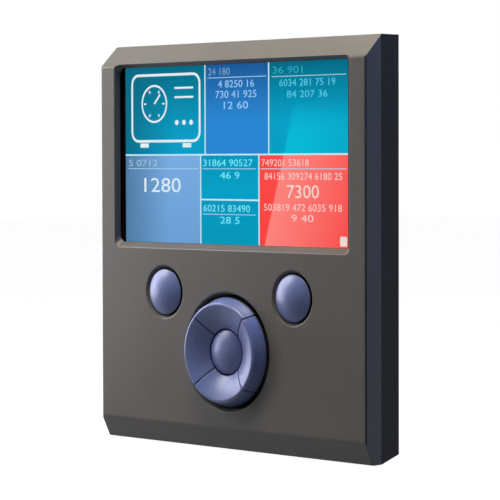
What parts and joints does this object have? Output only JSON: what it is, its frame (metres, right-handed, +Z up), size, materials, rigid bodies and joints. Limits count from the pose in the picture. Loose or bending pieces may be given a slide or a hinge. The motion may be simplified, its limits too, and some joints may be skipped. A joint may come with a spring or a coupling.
{
  "type": "energy monitoring display",
  "caption": "Panel-mounted energy monitor: bevelled housing with a colour screen, two round keys, a four-way key ring and sockets in a stepped back.",
  "frame": {"origin": "centre of the four panel bolts, in the plane where the flange rests on the panel", "axes": "+Z up, the screen faces -Y and the sockets face +Y, +X to the right as seen from the front"},
  "size_m": [0.12, 0.0318, 0.13],
  "materials": {
    "front_plastic": "dark grey moulded plastic with a fine spark-eroded texture",
    "rear_plastic": "near-black moulded plastic with a fine texture",
    "gasket": "black adhesive foam",
    "window": "clear hard-coated window",
    "screen": "lit colour display behind a smooth polariser",
    "tray": "plain sheet metal",
    "ribbon": "amber polyimide film",
    "ivory_plastic": "ivory connector plastic",
    "key": "satin metallic blue",
    "silicone": "dark silicone rubber",
    "board": "green solder mask",
    "heat_sink": "dark anodised",
    "chip": "black moulding compound",
    "ferrite": "sintered ferrite",
    "can": "plain can",
    "cell": "stamped steel",
    "shield": "tin-plated shield",
    "terminal": "green connector plastic",
    "socket_plastic": "black connector plastic",
    "screw": "zinc-plated",
    "insert": "turned brass"
  },
  "bodies": {
    "housing": {"front_housing": "front_plastic", "rear_housing": "rear_plastic", "window_gasket": "gasket", "display_window": "window", "lcd_panel": "screen", "backlight_tray": "tray", "lcd_ribbon": "ribbon", "ribbon_socket": "ivory_plastic", "keypad_mat": "silicone", "main_board": "board", "processor": "heat_sink", "memory_chip": "chip", "flash_chip": "chip", "network_chip": "chip", "power_coil": "ferrite", "capacitor_1": "can", "capacitor_2": "can", "buzzer": "chip", "backup_cell": "cell", "jack_1": "shield", "jack_2": "shield", "jack_3": "shield", "jack_4": "shield", "jack_5": "shield", "usb_port_1": "shield", "usb_port_2": "shield", "power_terminal": "terminal", "relay_terminal": "terminal", "serial_port_1": "socket_plastic", "serial_port_2": "socket_plastic", "case_screws": "screw", "board_screws": "screw", "panel_inserts": "insert"},
    "left_button": {"left_key": "key"},
    "right_button": {"right_key": "key"},
    "centre_button": {"centre_key": "key"},
    "up_button": {"up_key": "key"},
    "down_button": {"down_key": "key"},
    "previous_button": {"previous_key": "key"},
    "next_button": {"next_key": "key"}
  },
  "joints": [
    {"name": "left_press", "type": "slide", "parent": "housing", "child": "left_button", "axis": [0, 1, 0], "range_m": [0, 0.0007], "stiffness_N_per_m": 1500, "springref_m": -0.0003},
    {"name": "right_press", "type": "slide", "parent": "housing", "child": "right_button", "axis": [0, 1, 0], "range_m": [0, 0.0007], "stiffness_N_per_m": 1500, "springref_m": -0.0003},
    {"name": "centre_press", "type": "slide", "parent": "housing", "child": "centre_button", "axis": [0, 1, 0], "range_m": [0, 0.0007], "stiffness_N_per_m": 1500, "springref_m": -0.0003},
    {"name": "up_press", "type": "slide", "parent": "housing", "child": "up_button", "axis": [0, 1, 0], "range_m": [0, 0.0007], "stiffness_N_per_m": 1500, "springref_m": -0.0003},
    {"name": "down_press", "type": "slide", "parent": "housing", "child": "down_button", "axis": [0, 1, 0], "range_m": [0, 0.0007], "stiffness_N_per_m": 1500, "springref_m": -0.0003},
    {"name": "previous_press", "type": "slide", "parent": "housing", "child": "previous_button", "axis": [0, 1, 0], "range_m": [0, 0.0007], "stiffness_N_per_m": 1500, "springref_m": -0.0003},
    {"name": "next_press", "type": "slide", "parent": "housing", "child": "next_button", "axis": [0, 1, 0], "range_m": [0, 0.0007], "stiffness_N_per_m": 1500, "springref_m": -0.0003}
  ]
}
